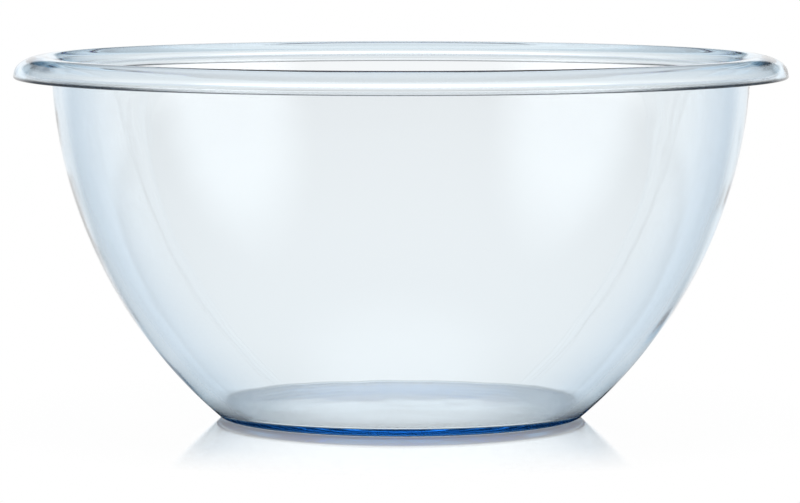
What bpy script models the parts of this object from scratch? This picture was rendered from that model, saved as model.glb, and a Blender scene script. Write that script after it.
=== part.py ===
"""Salad bowl of pale blue pressed glass with a wide rolled rim, in metres with +Z up.

The real bowl is pressed in one shot, so rim, wall and foot are one piece of glass. Its half-section is
drawn with arcs and short straight runs that touch each other smoothly, and is turned round the Z axis.
The origin is the middle of the foot, on the surface that the bowl stands on.
"""
import math

import bmesh
import bpy

MM = 0.001

# Overall size
RIM_RADIUS = 130.0 * MM
HEIGHT = 121.9 * MM

# Outer wall: one long arc, with its centre past the axis and about level with the rim
WALL_RADIUS = 160.5 * MM
WALL_CENTRE = (-43.2 * MM, 122.6 * MM)

# Glass thickness, growing from the rim to the foot
WALL_AT_RIM = 2.8 * MM
WALL_TAPER = 1.4 * MM
FLOOR_THICKNESS = 4.1 * MM

# Inner wall: an arc of its own, with its centre raised by the taper
INNER_CENTRE = (WALL_CENTRE[0], WALL_CENTRE[1] + WALL_TAPER)
INNER_RADIUS = WALL_RADIUS - WALL_AT_RIM

# Rolled rim: a flat crown, a round shoulder that droops to a narrow edge, and a finger groove under it
RIM_DROP = 6.8 * MM
SHOULDER_ROUND = 5.6 * MM
CREST_THICKNESS = 3.7 * MM
DROOP_THICKNESS = 3.5 * MM
EDGE_ROUND = 0.6 * MM
LIP_ROUND = 5.8 * MM
UNDER_RIM_ROUND = 2.9 * MM

# Foot: a narrow ring that stands on the table round a slightly dished underside
HEEL_ROUND = 3.3 * MM
FLOOR_ROUND = 3.0 * MM
FOOT_INNER_RADIUS = 52.0 * MM
DISH_RISE = 0.4 * MM

# How finely the arcs and the turn are divided
TURN_STEPS = 80
WALL_STEPS = 10
CROWN_STEPS = 4
SHOULDER_STEPS = 7
GROOVE_STEPS = 6
ROUND_STEPS = 4
EDGE_STEPS = 2
SHARP_ANGLE = math.radians(40.0)

# Finish
GLASS_COLOUR = (0.78, 0.89, 0.96, 1.0)
GLASS_ROUGHNESS = 0.03
GLASS_IOR = 1.5


def clear_scene():
    """Remove every object, so that only the bowl is left."""
    for thing in list(bpy.data.objects):
        bpy.data.objects.remove(thing, do_unlink=True)


def arc(centre, radius, start, end, steps, height_ratio=1.0):
    """Points from angle start to angle end; a height ratio other than 1 makes the arc part of an ellipse."""
    points = []
    for step in range(steps + 1):
        angle = start + (end - start) * step / steps
        across = centre[0] + radius * math.cos(angle)
        up = centre[1] + radius * height_ratio * math.sin(angle)
        points.append((across, up))
    return points


def touching_centre(wall_centre, reach, height):
    """Centre, at the given height, of a round that touches a wall arc, reach away from that arc's centre."""
    drop = wall_centre[1] - height
    return (wall_centre[0] + math.sqrt(reach ** 2 - drop ** 2), height)


def angle_to(start, end):
    """Direction from one point of the section to another."""
    return math.atan2(end[1] - start[1], end[0] - start[0])


def inner_surface(lip):
    """From the middle of the floor, round the corner and up the inner wall, to the lip's top."""
    corner = touching_centre(INNER_CENTRE, INNER_RADIUS - FLOOR_ROUND, FLOOR_THICKNESS + FLOOR_ROUND)
    low = angle_to(INNER_CENTRE, corner)
    high = angle_to(INNER_CENTRE, lip)
    points = [(0.0, FLOOR_THICKNESS)]
    points += arc(corner, FLOOR_ROUND, -math.pi / 2, low, ROUND_STEPS)
    points += arc(INNER_CENTRE, INNER_RADIUS, low, high, WALL_STEPS)
    points += arc(lip, LIP_ROUND, high + math.pi, math.pi / 2, ROUND_STEPS)
    return points


def rolled_rim(lip, under_rim):
    """Over the crown and the shoulder, round the edge, and up the groove to the round under the crest."""
    edge_height = HEIGHT - RIM_DROP
    shoulder = (RIM_RADIUS - SHOULDER_ROUND, edge_height)
    run = shoulder[0] - lip[0]
    crown_radius = (run ** 2 + RIM_DROP ** 2 - SHOULDER_ROUND ** 2) / (2 * (RIM_DROP - SHOULDER_ROUND))
    crown = (lip[0], HEIGHT - crown_radius)
    meeting = angle_to(crown, shoulder)
    outer_edge = (RIM_RADIUS - EDGE_ROUND, edge_height)
    inner_edge = (RIM_RADIUS - DROOP_THICKNESS + EDGE_ROUND, edge_height)
    groove = (under_rim[0], edge_height)
    groove_width = RIM_RADIUS - DROOP_THICKNESS - under_rim[0]
    groove_rise = under_rim[1] + UNDER_RIM_ROUND - edge_height
    points = arc(crown, crown_radius, math.pi / 2, meeting, CROWN_STEPS)
    points += arc(shoulder, SHOULDER_ROUND, meeting, 0.0, SHOULDER_STEPS)
    points += arc(outer_edge, EDGE_ROUND, 0.0, -math.pi / 2, EDGE_STEPS)
    points += arc(inner_edge, EDGE_ROUND, -math.pi / 2, -math.pi, EDGE_STEPS)
    points += arc(groove, groove_width, 0.0, math.pi / 2, GROOVE_STEPS, groove_rise / groove_width)
    return points


def outer_surface(under_rim):
    """From the round under the crest, down the outer wall and round the heel."""
    heel = touching_centre(WALL_CENTRE, WALL_RADIUS - HEEL_ROUND, HEEL_ROUND)
    high = angle_to(WALL_CENTRE, under_rim)
    low = angle_to(WALL_CENTRE, heel)
    points = arc(under_rim, UNDER_RIM_ROUND, math.pi / 2, high + math.pi, ROUND_STEPS)
    points += arc(WALL_CENTRE, WALL_RADIUS, high, low, WALL_STEPS)
    points += arc(heel, HEEL_ROUND, low, -math.pi / 2, ROUND_STEPS)
    return points


def foot():
    """The standing ring, and the shallow dish inside it that rises to the middle of the underside."""
    dish_radius = (FOOT_INNER_RADIUS ** 2 + DISH_RISE ** 2) / (2 * DISH_RISE)
    centre = (0.0, DISH_RISE - dish_radius)
    ring_inside = (FOOT_INNER_RADIUS, 0.0)
    return arc(centre, dish_radius, angle_to(centre, ring_inside), math.pi / 2, ROUND_STEPS)


def half_section():
    """The whole outline from the floor's middle to the foot's, without the points that two runs share."""
    roof = HEIGHT - CREST_THICKNESS
    lip = touching_centre(INNER_CENTRE, INNER_RADIUS + LIP_ROUND, HEIGHT - LIP_ROUND)
    under_rim = touching_centre(WALL_CENTRE, WALL_RADIUS + UNDER_RIM_ROUND, roof - UNDER_RIM_ROUND)
    points = []
    for point in inner_surface(lip) + rolled_rim(lip, under_rim) + outer_surface(under_rim) + foot():
        if not points or math.dist(point, points[-1]) > 0.01 * MM:
            points.append(point)
    return points


def turn(name, section):
    """Spin a half-section round the Z axis into one closed body."""
    shape = bmesh.new()
    points = [shape.verts.new((across, 0.0, up)) for across, up in section]
    edges = [shape.edges.new(pair) for pair in zip(points, points[1:])]
    bmesh.ops.spin(shape, geom=points + edges, cent=(0.0, 0.0, 0.0), axis=(0.0, 0.0, 1.0),
                   angle=2 * math.pi, steps=TURN_STEPS, use_merge=True)
    bmesh.ops.remove_doubles(shape, verts=shape.verts, dist=0.001 * MM)
    bmesh.ops.recalc_face_normals(shape, faces=shape.faces)
    mesh = bpy.data.meshes.new(name)
    shape.to_mesh(mesh)
    shape.free()
    mesh.shade_smooth()
    mesh.set_sharp_from_angle(angle=SHARP_ANGLE)
    piece = bpy.data.objects.new(name, mesh)
    bpy.context.scene.collection.objects.link(piece)
    return piece


def blue_glass():
    """Clear glass with a pale blue tint and a fire-polished surface."""
    material = bpy.data.materials.new("blue_glass")
    material.use_nodes = True
    shader = material.node_tree.nodes["Principled BSDF"]
    shader.inputs["Base Color"].default_value = GLASS_COLOUR
    shader.inputs["Roughness"].default_value = GLASS_ROUGHNESS
    shader.inputs["Metallic"].default_value = 0.0
    shader.inputs["IOR"].default_value = GLASS_IOR
    shader.inputs["Transmission Weight"].default_value = 1.0
    return material


def main():
    clear_scene()
    bowl = turn("glass_bowl", half_section())
    bowl.data.materials.append(blue_glass())
    triangles = sum(len(face.vertices) - 2 for face in bowl.data.polygons)
    print(f"glass_bowl: {triangles} triangles")


main()
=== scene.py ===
# %% [markdown]
# # A pressed glass salad bowl
#
# The bowl is one piece of clear, pale blue glass: a gob of molten glass is pressed in a mould, and the
# rim, wall, floor and foot come out together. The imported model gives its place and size. This script
# draws the same section much more finely, turns it into a smooth body, and gives it the finish, the
# floor, the light and the camera.

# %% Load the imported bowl
import math

import bpy
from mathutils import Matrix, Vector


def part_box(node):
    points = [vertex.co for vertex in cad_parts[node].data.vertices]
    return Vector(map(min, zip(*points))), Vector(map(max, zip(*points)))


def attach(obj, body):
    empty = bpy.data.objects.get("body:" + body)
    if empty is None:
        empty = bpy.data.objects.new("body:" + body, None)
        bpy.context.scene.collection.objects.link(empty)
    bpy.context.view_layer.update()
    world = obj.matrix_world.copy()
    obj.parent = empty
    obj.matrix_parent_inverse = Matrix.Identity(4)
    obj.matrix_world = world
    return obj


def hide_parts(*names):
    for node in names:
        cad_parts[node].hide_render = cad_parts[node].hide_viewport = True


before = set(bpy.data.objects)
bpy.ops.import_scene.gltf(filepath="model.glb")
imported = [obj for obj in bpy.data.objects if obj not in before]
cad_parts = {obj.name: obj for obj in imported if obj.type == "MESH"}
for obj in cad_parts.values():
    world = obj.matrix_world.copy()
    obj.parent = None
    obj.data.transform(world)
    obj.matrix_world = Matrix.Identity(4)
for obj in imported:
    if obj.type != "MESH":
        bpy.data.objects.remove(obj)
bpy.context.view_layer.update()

bowl_low, bowl_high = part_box("glass_bowl")
print("bowl from", [round(v, 4) for v in bowl_low], "to", [round(v, 4) for v in bowl_high])

# %% [markdown]
# ## The sizes that drive the section
#
# A turned shape needs only half of its cross-section. The rim's radius and the height are read from the
# frame, so that the fine bowl can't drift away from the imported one. The rest are the mould's own sizes:
# one long arc for the outer wall, glass that grows thicker towards the foot, and a rim that rolls over
# and droops to a narrow edge.

# %% Sizes of the half-section, in metres
MM = 0.001
RIM_RADIUS = bowl_high.x
HEIGHT = bowl_high.z

WALL_RADIUS = 160.5 * MM
WALL_CENTRE = (-43.2 * MM, 122.6 * MM)
WALL_AT_RIM = 2.8 * MM
WALL_TAPER = 1.4 * MM
FLOOR_THICKNESS = 4.1 * MM
FLOOR_ROUND = 3.0 * MM

RIM_DROP = 6.8 * MM
SHOULDER_ROUND = 5.6 * MM
CREST_THICKNESS = 3.7 * MM
DROOP_THICKNESS = 3.5 * MM
EDGE_ROUND = 0.6 * MM
LIP_ROUND = 5.8 * MM
UNDER_RIM_ROUND = 2.9 * MM

HEEL_ROUND = 3.3 * MM
FOOT_INNER_RADIUS = 52.0 * MM
DISH_RISE = 0.4 * MM
print(f"rim radius {RIM_RADIUS / MM:.1f} mm, height {HEIGHT / MM:.1f} mm")

# %% [markdown]
# ## Drawing the section as by hand
#
# The section starts as one vertex: a plane whose corners are merged. Each run is then pulled out of the
# last vertex. A round is made with the Spin tool, which sweeps a vertex about a centre and leaves its end
# selected, and an ellipse is extruded point by point. Circles that touch each other smoothly keep the
# reflections unbroken.

# %% Tools for drawing a section in the XZ plane
SPIN_AXIS = (0.0, 1.0, 0.0)
QUARTER = math.pi / 2


def start_section(name, across, up):
    """A new mesh object in edit mode with one selected vertex."""
    bpy.ops.object.select_all(action="DESELECT")
    bpy.ops.mesh.primitive_plane_add(size=MM, location=(0.0, 0.0, 0.0))
    piece = bpy.context.object
    piece.name = piece.data.name = name
    bpy.ops.object.mode_set(mode="EDIT")
    bpy.ops.mesh.merge(type="CENTER")
    bpy.ops.transform.translate(value=(across, 0.0, up))
    return piece


def straight_to(here, there):
    """Extrude the selected vertex to a point of the section."""
    step = (there[0] - here[0], 0.0, there[1] - here[1])
    bpy.ops.mesh.extrude_region_move(TRANSFORM_OT_translate={"value": step})
    return there


def direction(start, end):
    """Angle of the line from one point of the section to another."""
    return math.atan2(end[1] - start[1], end[0] - start[0])


def round_about(centre, here, turn, steps):
    """Spin the selected vertex about a centre by an angle, positive from +X to +Z."""
    bpy.ops.mesh.spin(steps=steps, angle=turn, center=(centre[0], 0.0, centre[1]), axis=SPIN_AXIS)
    end = direction(centre, here) + turn
    reach = math.dist(here, centre)
    return (centre[0] + reach * math.cos(end), centre[1] + reach * math.sin(end))


def quarter_ellipse(centre, here, width, rise, steps):
    """Extrude along a quarter of an ellipse, from its side to its top."""
    for step in range(1, steps + 1):
        angle = step / steps * QUARTER
        here = straight_to(here, (centre[0] + width * math.cos(angle), centre[1] + rise * math.sin(angle)))
    return here


def touching_centre(wall_centre, reach, height):
    """Centre, at a height, of a round that touches a wall arc, reach away from that arc's centre."""
    drop = wall_centre[1] - height
    return (wall_centre[0] + math.sqrt(reach ** 2 - drop ** 2), height)


print("section drawn in the plane across", SPIN_AXIS)

# %% [markdown]
# ## Inside: the floor, the corner and the inner wall
#
# The plunger of the press shapes the inside. Its floor is flat and meets the wall in a small round. Its
# wall arc has a centre a little higher than the outer one, so that the glass is thickest at the foot.

# %% Draw the inside
FLOOR_RINGS = 5
ROUND_STEPS = 12
WALL_STEPS = 52
LIP_STEPS = 18

inner_centre = (WALL_CENTRE[0], WALL_CENTRE[1] + WALL_TAPER)
inner_radius = WALL_RADIUS - WALL_AT_RIM
corner = touching_centre(inner_centre, inner_radius - FLOOR_ROUND, FLOOR_THICKNESS + FLOOR_ROUND)
lip = touching_centre(inner_centre, inner_radius + LIP_ROUND, HEIGHT - LIP_ROUND)
low, high = direction(inner_centre, corner), direction(inner_centre, lip)

bowl = start_section("glass_bowl_fine", 0.0, FLOOR_THICKNESS)
here = (0.0, FLOOR_THICKNESS)
for ring in range(1, FLOOR_RINGS + 1):
    here = straight_to(here, (corner[0] * (ring / FLOOR_RINGS), FLOOR_THICKNESS))
here = round_about(corner, here, low + QUARTER, ROUND_STEPS)
here = round_about(inner_centre, here, high - low, WALL_STEPS)
here = round_about(lip, here, -(QUARTER + high), LIP_STEPS)
print(f"inner floor radius {corner[0] / MM:.1f} mm, lip top at {here[0] / MM:.2f}, {here[1] / MM:.2f} mm")

# %% [markdown]
# ## The rolled rim
#
# The rim is the hardest part of the shape. It rolls over in a long, almost flat crown and a tight round
# shoulder, droops to a narrow edge, and is hollow underneath, where a groove takes the finger tips.
# Because glass shows both of its surfaces at once, crown and groove together draw the fine lines along
# the front of the rim: a solid bead would show one broad dark band instead. The crown's radius follows
# from having to touch lip and shoulder smoothly.

# %% Draw the rolled rim
CROWN_STEPS = 16
SHOULDER_STEPS = 24
EDGE_STEPS = 7
GROOVE_STEPS = 24

edge_height = HEIGHT - RIM_DROP
shoulder = (RIM_RADIUS - SHOULDER_ROUND, edge_height)
run = shoulder[0] - lip[0]
crown_radius = (run ** 2 + RIM_DROP ** 2 - SHOULDER_ROUND ** 2) / (2 * (RIM_DROP - SHOULDER_ROUND))
crown = (lip[0], HEIGHT - crown_radius)
meeting = direction(crown, shoulder)
outer_edge = (RIM_RADIUS - EDGE_ROUND, edge_height)
inner_edge = (RIM_RADIUS - DROOP_THICKNESS + EDGE_ROUND, edge_height)
roof = HEIGHT - CREST_THICKNESS
under_rim = touching_centre(WALL_CENTRE, WALL_RADIUS + UNDER_RIM_ROUND, roof - UNDER_RIM_ROUND)
groove = (under_rim[0], edge_height)
groove_width = RIM_RADIUS - DROOP_THICKNESS - under_rim[0]

here = round_about(crown, here, meeting - QUARTER, CROWN_STEPS)
here = round_about(shoulder, here, -meeting, SHOULDER_STEPS)
here = round_about(outer_edge, here, -QUARTER, EDGE_STEPS)
here = straight_to(here, (inner_edge[0], here[1]))
here = round_about(inner_edge, here, -QUARTER, EDGE_STEPS)
here = quarter_ellipse(groove, here, groove_width, roof - edge_height, GROOVE_STEPS)
print(f"crown radius {crown_radius / MM:.1f} mm, groove {groove_width / MM:.1f} mm wide")

# %% [markdown]
# ## Outside: the wall, the heel and the foot
#
# The mould shapes the outside. A small round leads from the groove into the wall, the wall is one arc
# down to the heel, and the bowl stands on a narrow flat ring. Inside the ring the underside is dished by
# less than half a millimetre, as on most pressed bowls, so that it can't rock.

# %% Draw the outside and close the section on the axis
heel = touching_centre(WALL_CENTRE, WALL_RADIUS - HEEL_ROUND, HEEL_ROUND)
high, low = direction(WALL_CENTRE, under_rim), direction(WALL_CENTRE, heel)
dish_radius = (FOOT_INNER_RADIUS ** 2 + DISH_RISE ** 2) / (2 * DISH_RISE)
dish_centre = (0.0, DISH_RISE - dish_radius)

here = round_about(under_rim, here, QUARTER + high, ROUND_STEPS)
here = round_about(WALL_CENTRE, here, low - high, WALL_STEPS)
here = round_about(heel, here, -(QUARTER + low), ROUND_STEPS)
here = straight_to(here, (FOOT_INNER_RADIUS, 0.0))
here = round_about(dish_centre, here, QUARTER - direction(dish_centre, here), ROUND_STEPS)
print(f"section ends at {here[0] / MM:.3f}, {here[1] / MM:.3f} mm")

# %% [markdown]
# ## Turning the section into glass
#
# One more Spin, about the Z axis, makes the body. The last copy falls on the first one, and the two ends
# of the section lie on the axis, so the doubles are merged before the normals are made to point outwards.
# Refraction shows every facet, so the turn is fine: one degree a step.

# %% Turn it, merge it and smooth it
TURN_STEPS = 360
MERGE_WITHIN = 0.002 * MM
SMOOTH_BELOW = math.radians(30.0)

bpy.ops.mesh.select_all(action="SELECT")
bpy.ops.mesh.spin(steps=TURN_STEPS, angle=2 * math.pi, center=(0.0, 0.0, 0.0), axis=(0.0, 0.0, 1.0))
bpy.ops.mesh.select_all(action="SELECT")
bpy.ops.mesh.remove_doubles(threshold=MERGE_WITHIN)
bpy.ops.mesh.normals_make_consistent(inside=False)
bpy.ops.object.mode_set(mode="OBJECT")
bpy.ops.object.shade_smooth_by_angle(angle=SMOOTH_BELOW)
triangles = sum(len(face.vertices) - 2 for face in bowl.data.polygons)
print(f"{bowl.name}: {len(bowl.data.vertices)} vertices, {triangles} triangles")

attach(bowl, "root")
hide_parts("glass_bowl")

# %% [markdown]
# ## Small tools for wiring nodes
#
# A finish is a graph of nodes, and the same few knots come back in every graph: a value that is mapped
# from one range to another, a product, and a blend of two values, colours or shaders. Each knot gets a
# helper, so that the finishes below stay short.

# %% Tools for wiring nodes
WHITE = (1.0, 1.0, 1.0, 1.0)


def feed(links, socket, value):
    """Link a socket to another one, or give it a fixed value."""
    if isinstance(value, bpy.types.NodeSocket):
        links.new(value, socket)
    else:
        socket.default_value = value


def ranged(nodes, links, value, start, end, first=0.0, last=1.0, curve="SMOOTHSTEP"):
    """Map a value that runs from start to end onto first to last, and hold it outside that range."""
    node = nodes.new("ShaderNodeMapRange")
    node.interpolation_type = curve
    for name, number in (("From Min", start), ("From Max", end), ("To Min", first), ("To Max", last)):
        node.inputs[name].default_value = number
    links.new(value, node.inputs["Value"])
    return node.outputs["Result"]


def product(nodes, links, one, other):
    """Multiply two sockets."""
    node = nodes.new("ShaderNodeMath")
    node.operation = "MULTIPLY"
    links.new(one, node.inputs[0])
    links.new(other, node.inputs[1])
    return node.outputs["Value"]


def blend(nodes, links, share, first, second, kind="FLOAT"):
    """The first value or colour at a share of 0 and the second at 1; each is fixed or a socket."""
    node = nodes.new("ShaderNodeMix")
    node.data_type = kind
    links.new(share, node.inputs["Factor"])
    feed(links, node.inputs["A"], first)
    feed(links, node.inputs["B"], second)
    return node.outputs["Result"]


def blend_shaders(nodes, links, share, first, second):
    """The first shader at a share of 0 and the second at 1; the share is fixed or a socket."""
    node = nodes.new("ShaderNodeMixShader")
    feed(links, node.inputs["Fac"], share)
    links.new(first, node.inputs[1])
    links.new(second, node.inputs[2])
    return node.outputs["Shader"]


def axis_of(nodes, links, vector, axis):
    """One of a vector's parts, X, Y or Z."""
    node = nodes.new("ShaderNodeSeparateXYZ")
    links.new(vector, node.inputs["Vector"])
    return node.outputs[axis]


def length_of(nodes, links, vector):
    """A vector's length."""
    node = nodes.new("ShaderNodeVectorMath")
    node.operation = "LENGTH"
    links.new(vector, node.inputs[0])
    return node.outputs["Value"]


def new_finish(name):
    """A material with its nodes and links."""
    material = bpy.data.materials.new(name)
    material.use_nodes = True
    return material, material.node_tree.nodes, material.node_tree.links


print("tools for ranges, products, blends, parts and lengths of vectors; white is", WHITE)

# %% [markdown]
# ## Marks of making and use
#
# A pressed face is never quite flat, so a very weak bump from a wide noise bends the light a little. The
# ring that the bowl stands on is scuffed by use, so it is rougher in patches, while the rest stays
# fire-polished. A fine noise makes the patches, and the height above the table keeps them on the ring.

# %% Pressing waves and scuffs
WAVE_SCALE = 45.0
WAVE_DETAIL = 1.0
WAVE_HEIGHT = 0.08 * MM
SCUFF_SCALE = 900.0
SCUFF_ROUGHNESS = 0.12
SCUFF_HEIGHT = 0.15 * MM


def noise(nodes, links, place, scale):
    """A noise that is fixed to the piece."""
    node = nodes.new("ShaderNodeTexNoise")
    node.inputs["Scale"].default_value = scale
    links.new(place, node.inputs["Vector"])
    return node


def pressed_waves(nodes, links, place):
    """The faint unevenness that a mould leaves, as a bump."""
    waves = noise(nodes, links, place, WAVE_SCALE)
    waves.inputs["Detail"].default_value = WAVE_DETAIL
    bump = nodes.new("ShaderNodeBump")
    bump.inputs["Strength"].default_value = 1.0
    bump.inputs["Distance"].default_value = WAVE_HEIGHT
    links.new(waves.outputs["Fac"], bump.inputs["Height"])
    return bump.outputs["Normal"]


def foot_scuffs(nodes, links, place):
    """Roughness that is zero everywhere but in patches of the standing ring, the glass's lowest part."""
    height = axis_of(nodes, links, place, "Z")
    low = ranged(nodes, links, height, 0.0, SCUFF_HEIGHT, SCUFF_ROUGHNESS, 0.0, "LINEAR")
    grain = noise(nodes, links, place, SCUFF_SCALE)
    return product(nodes, links, low, grain.outputs["Fac"])


print(f"waves {WAVE_HEIGHT / MM:.2f} mm high, scuffs up to {SCUFF_HEIGHT / MM:.2f} mm above the table")

# %% [markdown]
# ## Painted edge-on shade and the rim's painted dark line
#
# Where the wall is seen edge on, its colour is painted a little darker and bluer. This is painted shade for
# the darker sides of the wall, on top of the tint that the glass's depth gives. Layer Weight tells how far
# a face turns away, and sets how much of that painted shade is added. The rim's lowest edge is painted with
# a thin near-black slate line, painted shade that stands in for the dark line seen along that edge. The
# line is a colour on the lowest part of the edge, found by height and by distance from the axis, and
# fainter where the edge is seen face on.

# %% The colour of the surface
# Painted shade: the darker, bluer colour of the wall where it is seen edge on.
EDGE_SHADE_COLOUR = (0.82, 0.9, 0.985, 1.0)
GLANCING_FROM = 0.35
GLANCING_TO = 0.8
# Painted shade: the near-black colour of the thin line on the rim's lowest edge.
PAINTED_LINE_COLOUR = (0.006, 0.01, 0.016, 1.0)
PAINTED_LINE_SOLID = 0.8 * MM
PAINTED_LINE_HEIGHT = 1.5 * MM
PAINTED_LINE_RADIUS = 124.0 * MM
PAINTED_LINE_FACE_ON = 0.12
PAINTED_LINE_FULL_AT = 0.35
FLAT = (1.0, 1.0, 0.0)

lowest_edge = edge_height - EDGE_ROUND


def painted_edge_shade(nodes, links):
    """Clear face on, and painted shade, a little darker and bluer, edge on."""
    slant = nodes.new("ShaderNodeLayerWeight")
    edge_on = ranged(nodes, links, slant.outputs["Facing"], GLANCING_FROM, GLANCING_TO)
    return blend(nodes, links, edge_on, WHITE, EDGE_SHADE_COLOUR, "RGBA")


def painted_line_strength(nodes, links, place):
    """Strength of the painted dark line: 1 on the lowest part of the rim's edge, less where it is seen face
    on, and 0 everywhere else.
    """
    flat = nodes.new("ShaderNodeVectorMath")
    flat.operation = "MULTIPLY"
    flat.inputs[1].default_value = FLAT
    links.new(place, flat.inputs[0])
    far_out = nodes.new("ShaderNodeMath")
    far_out.operation = "GREATER_THAN"
    far_out.inputs[1].default_value = PAINTED_LINE_RADIUS
    links.new(length_of(nodes, links, flat.outputs["Vector"]), far_out.inputs[0])
    height = axis_of(nodes, links, place, "Z")
    low = ranged(nodes, links, height, lowest_edge + PAINTED_LINE_SOLID, lowest_edge + PAINTED_LINE_HEIGHT, 1.0, 0.0)
    painted_line = product(nodes, links, far_out.outputs["Value"], low)
    slant = nodes.new("ShaderNodeLayerWeight")
    along = ranged(nodes, links, slant.outputs["Facing"], 0.0, PAINTED_LINE_FULL_AT, PAINTED_LINE_FACE_ON, 1.0)
    return product(nodes, links, painted_line, along)


def surface_colour(nodes, links, place):
    """The painted edge-on shade everywhere, and the painted dark line on the rim's lowest edge."""
    # The glass's colour with its painted edge-on shade.
    clear = painted_edge_shade(nodes, links)
    return blend(nodes, links, painted_line_strength(nodes, links, place), clear, PAINTED_LINE_COLOUR, "RGBA")


print(f"seam from {lowest_edge / MM:.2f} mm up, {PAINTED_LINE_HEIGHT / MM:.1f} mm high")

# %% [markdown]
# ## Pale blue glass
#
# Most of the tint of real glass is in its depth: a thin wall is almost clear, while light that runs along
# the rim or across the base comes out deep blue. A coloured surface alone would tint both alike, so a
# Volume Absorption takes out red first, then green.

# %% Glass that tints by depth
ABSORPTION = (16.5, 7.2, 2.0)
ABSORPTION_DENSITY = 20.0
GLASS_IOR = 1.5


def blue_glass():
    """Fire-polished glass with a depth that takes out red first."""
    material, nodes, links = new_finish("blue_glass")
    shader = nodes["Principled BSDF"]
    shader.inputs["Transmission Weight"].default_value = 1.0
    shader.inputs["IOR"].default_value = GLASS_IOR
    place = nodes.new("ShaderNodeTexCoord").outputs["Object"]
    links.new(pressed_waves(nodes, links, place), shader.inputs["Normal"])
    links.new(foot_scuffs(nodes, links, place), shader.inputs["Roughness"])
    links.new(surface_colour(nodes, links, place), shader.inputs["Base Color"])
    depth = nodes.new("ShaderNodeVolumeAbsorption")
    depth.inputs["Color"].default_value = tuple(1.0 - a / ABSORPTION_DENSITY for a in ABSORPTION) + (1.0,)
    depth.inputs["Density"].default_value = ABSORPTION_DENSITY
    links.new(depth.outputs["Volume"], nodes["Material Output"].inputs["Volume"])
    return material


bowl.data.materials.append(blue_glass())
print("glass absorbs per metre:", ABSORPTION)

# %% [markdown]
# ## Brightness for each kind of ray
#
# Glass has no look of its own: it shows its surroundings, straight through the wall and mirrored in its
# faces. A photographer sets those surroundings with white sheets and grey cards. Here the Light Path node
# does that: the camera sees plain white, and rays that passed through the glass or were mirrored in it see
# their own brightness. That brightness follows a few stops, each a place and a level. A path with more than
# a dozen bounces is also dimmed. This is painted shade that darkens what the glass shows along its longest
# paths, such as across the base.

# %% Levels for the surroundings
LOSS_FROM = 12.0
LOSS_TO = 22.0
LEFT_AT_END = 0.1


def follow_stops(nodes, links, value, unit, reach, stops):
    """Level that follows a value through stops, pairs of a place in the unit and a level, up to a reach."""
    scaled = nodes.new("ShaderNodeMath")
    scaled.operation = "DIVIDE"
    scaled.inputs[1].default_value = reach * unit
    links.new(value, scaled.inputs[0])
    ramp = nodes.new("ShaderNodeValToRGB")
    points = ramp.color_ramp.elements
    points[0].position = stops[0][0] / reach
    points[1].position = stops[-1][0] / reach
    for place, level in stops[1:-1]:
        points.new(place / reach)
    for point, (place, level) in zip(points, stops):
        point.color = (level, level, level, 1.0)
    links.new(scaled.outputs["Value"], ramp.inputs["Fac"])
    return ramp.outputs["Color"]


def level_for_ray(nodes, links, mirrored, through):
    """White for the camera and for soft light, and a level of their own for mirrored and refracted rays."""
    path = nodes.new("ShaderNodeLightPath")
    bent = blend(nodes, links, path.outputs["Is Transmission Ray"], mirrored, through)
    # Painted shade: light that arrives after more than a dozen bounces is dimmed.
    left = ranged(nodes, links, path.outputs["Ray Depth"], LOSS_FROM, LOSS_TO, 1.0, LEFT_AT_END, "LINEAR")
    dimmed = product(nodes, links, bent, left)
    return blend(nodes, links, path.outputs["Is Glossy Ray"], 1.0, dimmed)


print(f"light falls to {LEFT_AT_END} between {LOSS_FROM:.0f} and {LOSS_TO:.0f} bounces")

# %% [markdown]
# ## How the floor looks through the glass
#
# The bowl stands on a polished white sheet. Light that the glass bends down to the sheet at a low angle
# meets a painted shadow in the sheet's glow: dim under the bowl, darkest under the standing ring, as where
# two things touch, and pale further out. Seen steeply, the sheet shows its own white, and the Fresnel node
# tells the two apart. A pale wedge of painted glow runs back from the bowl. Only the glass's reflections
# see it, and elsewhere they see the sheet dim. From the front, the glass mirrors the wedge along the very
# edge of its outline.

# %% Levels of the floor, in millimetres from the axis
FLOOR_REACH = 400.0
# Painted shadow: the sheet's glow for light through the glass, dim under the bowl and darkest under the
# standing ring.
FLOOR_THROUGH = (
    (0.0, 0.56), (20.0, 0.58), (30.0, 0.54), (40.0, 0.3), (46.0, 0.08), (57.5, 0.05),
    (63.5, 0.54), (71.0, 0.98), (82.0, 0.95), (400.0, 0.945),
)
# Painted glow for the glass's reflections: dim at the sides and in front, and a pale wedge behind the bowl.
FLOOR_MIRRORED = ((0.0, 0.0), (76.0, 0.0), (100.0, 0.4), (400.0, 0.22))
FLOOR_BEHIND = ((0.0, 0.0), (76.0, 0.0), (100.0, 0.4), (190.0, 0.95), (400.0, 0.95))
BEHIND_FROM = math.radians(50.0)
BEHIND_TO = math.radians(32.0)
THROUGH_FRESNEL = (0.045, 0.09)
FROM_ABOVE = 0.95


def straight_back(nodes, links, place):
    """1 in a wedge of the floor that runs back from the bowl, 0 at its sides and in front."""
    towards = nodes.new("ShaderNodeVectorMath")
    towards.operation = "NORMALIZE"
    links.new(place, towards.inputs[0])
    back = axis_of(nodes, links, towards.outputs["Vector"], "Y")
    return ranged(nodes, links, back, math.cos(BEHIND_FROM), math.cos(BEHIND_TO))


def low_angle(nodes, links, limits):
    """0 for light that falls on the sheet steeply, 1 for light that skims it, by two Fresnel levels."""
    slant = nodes.new("ShaderNodeFresnel")
    return ranged(nodes, links, slant.outputs["Fac"], *limits, curve="LINEAR")


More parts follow.
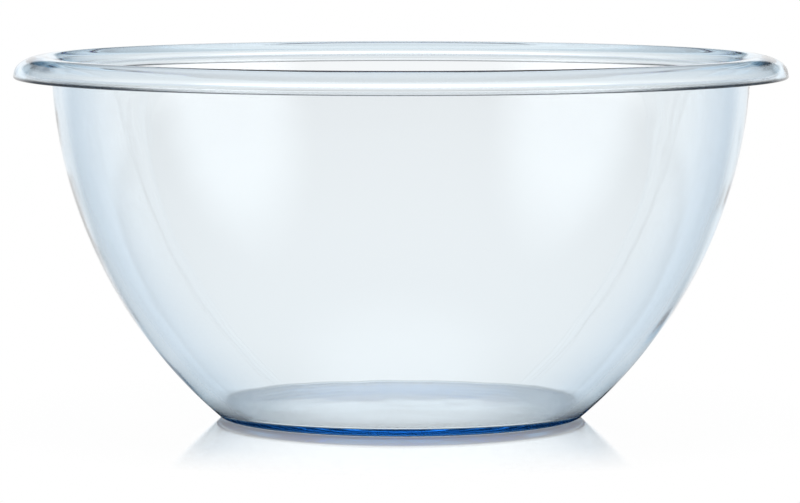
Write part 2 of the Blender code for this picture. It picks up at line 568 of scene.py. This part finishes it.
def floor_glow(nodes, links, place, distance):
    """The sheet's own white for the camera, and the levels above for light from the glass."""
    levels = []
    for stops in (FLOOR_MIRRORED, FLOOR_BEHIND, FLOOR_THROUGH):
        levels.append(follow_stops(nodes, links, distance, MM, FLOOR_REACH, stops))
    mirrored = blend(nodes, links, straight_back(nodes, links, place), levels[0], levels[1])
    through = blend(nodes, links, low_angle(nodes, links, THROUGH_FRESNEL), FROM_ABOVE, levels[2])
    glow = nodes.new("ShaderNodeEmission")
    links.new(level_for_ray(nodes, links, mirrored, through), glow.inputs["Strength"])
    return glow.outputs["Emission"]


print("darkest level of the floor through the glass:", min(level for place, level in FLOOR_THROUGH))

# %% [markdown]
# ## The polished floor
#
# At a low angle the sheet mirrors the foot and the wall, more weakly the further out, and the glass
# shades it a little where it stands. A floor that is glossy all over would mirror the dark band of the
# room and turn grey, so the mirror stays close to the bowl, and the Fresnel node keeps it weak from
# above.

# %% A polished white sheet
FLOOR_SIZE = 40.0
FLOOR_GAP = 0.1 * MM
MIRROR_FADE = ((0.0, 0.8), (60.0, 0.8), (72.0, 0.68), (84.0, 0.6), (105.0, 0.55), (160.0, 0.0))
MIRROR_FRESNEL = (0.2, 0.5)
MIRROR_ROUGHNESS = 0.06
SHADOW_SHARE = 0.12
SHEET_COLOUR = (0.97, 0.97, 0.97, 1.0)


def floor_polish(nodes, links):
    """White with a weak soft shadow, and a mirror at a low angle."""
    lit = nodes.new("ShaderNodeEmission")
    shaded = nodes.new("ShaderNodeBsdfDiffuse")
    shaded.inputs["Color"].default_value = SHEET_COLOUR
    matt = blend_shaders(nodes, links, SHADOW_SHARE, lit.outputs["Emission"], shaded.outputs["BSDF"])
    mirror = nodes.new("ShaderNodeBsdfGlossy")
    mirror.inputs["Color"].default_value = WHITE
    mirror.inputs["Roughness"].default_value = MIRROR_ROUGHNESS
    skim = low_angle(nodes, links, MIRROR_FRESNEL)
    return blend_shaders(nodes, links, skim, matt, mirror.outputs["BSDF"])


def white_sheet():
    """Mirror and soft shadow near the bowl, plain white further out."""
    material, nodes, links = new_finish("white_sheet")
    nodes.remove(nodes["Principled BSDF"])
    place = nodes.new("ShaderNodeTexCoord").outputs["Object"]
    distance = length_of(nodes, links, place)
    glow = floor_glow(nodes, links, place, distance)
    path = nodes.new("ShaderNodeLightPath")
    fade = follow_stops(nodes, links, distance, MM, FLOOR_REACH, MIRROR_FADE)
    near = blend(nodes, links, path.outputs["Is Camera Ray"], 0.0, fade)
    sheet = blend_shaders(nodes, links, near, glow, floor_polish(nodes, links))
    links.new(sheet, nodes["Material Output"].inputs["Surface"])
    return material


bpy.ops.object.select_all(action="DESELECT")
bpy.ops.mesh.primitive_plane_add(size=FLOOR_SIZE, location=(0.0, 0.0, 0.0))
floor = bpy.context.object
floor.name = "floor"
bpy.ops.object.mode_set(mode="EDIT")
bpy.ops.transform.translate(value=(0.0, 0.0, -FLOOR_GAP))
bpy.ops.object.mode_set(mode="OBJECT")
floor.data.materials.append(white_sheet())
print(f"floor {FLOOR_SIZE:.0f} m wide, mirrored out to {MIRROR_FADE[-1][0]:.0f} mm from the axis")

# %% [markdown]
# ## The room
#
# The room is a white tent with a dark band round it, from about 10 to 20 degrees up, that fades to white
# overhead. The rolled rim mirrors the band as fine dark lines, and light that comes through the glass
# sees it much paler. It goes all round, so the rim has something dark to mirror from every side.

# %% A white room with a dark band, in degrees up
DEGREE = math.radians(1.0)
SKY_REACH = 90.0
SKY_MIRRORED = (
    (0.0, 0.8), (3.0, 1.0), (7.5, 1.0), (10.0, 0.08), (18.0, 0.08), (24.0, 0.45),
    (34.0, 0.65), (50.0, 0.8), (75.0, 1.0),
)
SKY_THROUGH = (
    (0.0, 0.95), (5.0, 1.1), (8.5, 1.2), (11.0, 0.5), (15.0, 0.85), (32.0, 0.88),
    (42.0, 1.0), (90.0, 1.0),
)

world = bpy.data.worlds.new("white_room")
bpy.context.scene.world = world
world.use_nodes = True
nodes, links = world.node_tree.nodes, world.node_tree.links
place = nodes.new("ShaderNodeTexCoord").outputs["Generated"]
elevation = nodes.new("ShaderNodeMath")
elevation.operation = "ARCSINE"
links.new(axis_of(nodes, links, place, "Z"), elevation.inputs[0])
levels = []
for stops in (SKY_MIRRORED, SKY_THROUGH):
    levels.append(follow_stops(nodes, links, elevation.outputs["Value"], DEGREE, SKY_REACH, stops))
nodes["Background"].inputs["Color"].default_value = WHITE
links.new(level_for_ray(nodes, links, *levels), nodes["Background"].inputs["Strength"])
print("room levels, degrees up and brightness:", SKY_MIRRORED)

# %% [markdown]
# ## Soft lights
#
# Two wide oval lights stand low beside the bowl, and a round one hangs over it. Only light that the glass
# has bent finds them, so they show as broad pale patches, mirrored in the far wall and seen through the
# near one. Without such patches the curve of a clear wall is hard to read. Each light is a disc that
# glows, because its material can fade softly to the edge, and the disc can be hidden from single kinds of
# ray.

# %% Two oval lights and a round one
LIGHT_DISTANCE = 1.5
LIGHT_POINTS = 48
FADE_FROM = 0.3
SIDE_AZIMUTH = math.radians(66.0)
SIDE_ELEVATION = math.radians(16.0)
SIDE_WIDTH = 1.5
SIDE_HEIGHT = 0.86
SIDE_LEVEL = 4.4
TOP_ELEVATION = math.radians(95.0)
TOP_WIDTH = 0.9
TOP_LEVEL = 2.4


def fading_glow(name, level):
    """A glow that fades to nothing at the edge of a disc of radius 1."""
    material, nodes, links = new_finish(name)
    nodes.remove(nodes["Principled BSDF"])
    place = nodes.new("ShaderNodeTexCoord").outputs["Object"]
    fade = ranged(nodes, links, length_of(nodes, links, place), FADE_FROM, 1.0, 1.0, 0.0)
    glow = nodes.new("ShaderNodeEmission")
    glow.inputs["Strength"].default_value = level
    clear = nodes.new("ShaderNodeBsdfTransparent")
    disc = blend_shaders(nodes, links, fade, clear.outputs["BSDF"], glow.outputs["Emission"])
    links.new(disc, nodes["Material Output"].inputs["Surface"])
    return material


def soft_light(name, azimuth, elevation, width, height, level):
    """A glowing oval, azimuth from the camera's side and elevation from the floor."""
    across = LIGHT_DISTANCE * math.cos(elevation)
    up = LIGHT_DISTANCE * math.sin(elevation)
    bpy.ops.object.select_all(action="DESELECT")
    bpy.ops.mesh.primitive_circle_add(
        vertices=LIGHT_POINTS, radius=1.0, fill_type="NGON",
        location=(across * math.sin(azimuth), -across * math.cos(azimuth), up),
        rotation=(QUARTER - elevation, 0.0, azimuth), scale=(width / 2, height / 2, 1.0),
    )
    light = bpy.context.object
    light.name = name
    light.visible_camera = False
    light.visible_diffuse = False
    light.visible_glossy = False
    light.visible_shadow = False
    light.data.materials.append(fading_glow(name, level))


for name, azimuth in (("soft_light_left", -SIDE_AZIMUTH), ("soft_light_right", SIDE_AZIMUTH)):
    soft_light(name, azimuth, SIDE_ELEVATION, SIDE_WIDTH, SIDE_HEIGHT, SIDE_LEVEL)
soft_light("soft_light_above", 0.0, TOP_ELEVATION, TOP_WIDTH, TOP_WIDTH, TOP_LEVEL)
print("3 soft lights,", LIGHT_DISTANCE, "m from the bowl")

# %% [markdown]
# ## The camera
#
# The camera stands 1.6 m in front and looks down by less than 5 degrees through a long lens, as product
# photographers do to keep the near side from looming. The lens is shifted a little, because the bowl
# isn't exactly in the middle of the picture.

# %% Camera at the photo's angle
CAMERA_DISTANCE = 1.61669
CAMERA_HEIGHT = 0.18852
CAMERA_PITCH = math.radians(4.705)
SENSOR_WIDTH = 36.0
FOCAL_LENGTH = 216.54
LENS_SHIFT = (-0.00125, 0.000625)

lens = bpy.data.cameras.new("camera")
lens.sensor_width = SENSOR_WIDTH
lens.sensor_fit = "HORIZONTAL"
lens.lens = FOCAL_LENGTH
lens.shift_x, lens.shift_y = LENS_SHIFT
camera = bpy.data.objects.new("camera", lens)
camera.location = (0.0, -CAMERA_DISTANCE, CAMERA_HEIGHT)
camera.rotation_euler = (QUARTER - CAMERA_PITCH, 0.0, 0.0)
bpy.context.scene.collection.objects.link(camera)
bpy.context.scene.camera = camera
print(f"camera {CAMERA_DISTANCE:.2f} m away, looking down {math.degrees(CAMERA_PITCH):.1f} degrees")

# %% [markdown]
# ## Picture settings
#
# Light that runs along the rim or across the base bounces dozens of times inside the glass before it
# comes out. With Cycles' usual limits those paths would end in black, so the limits are raised.

# %% Plain view and long light paths
LIGHT_BOUNCES = 48

scene = bpy.context.scene
scene.view_settings.view_transform = "Standard"
scene.cycles.max_bounces = LIGHT_BOUNCES
scene.cycles.glossy_bounces = LIGHT_BOUNCES
scene.cycles.transmission_bounces = LIGHT_BOUNCES
print("light paths of up to", LIGHT_BOUNCES, "bounces")
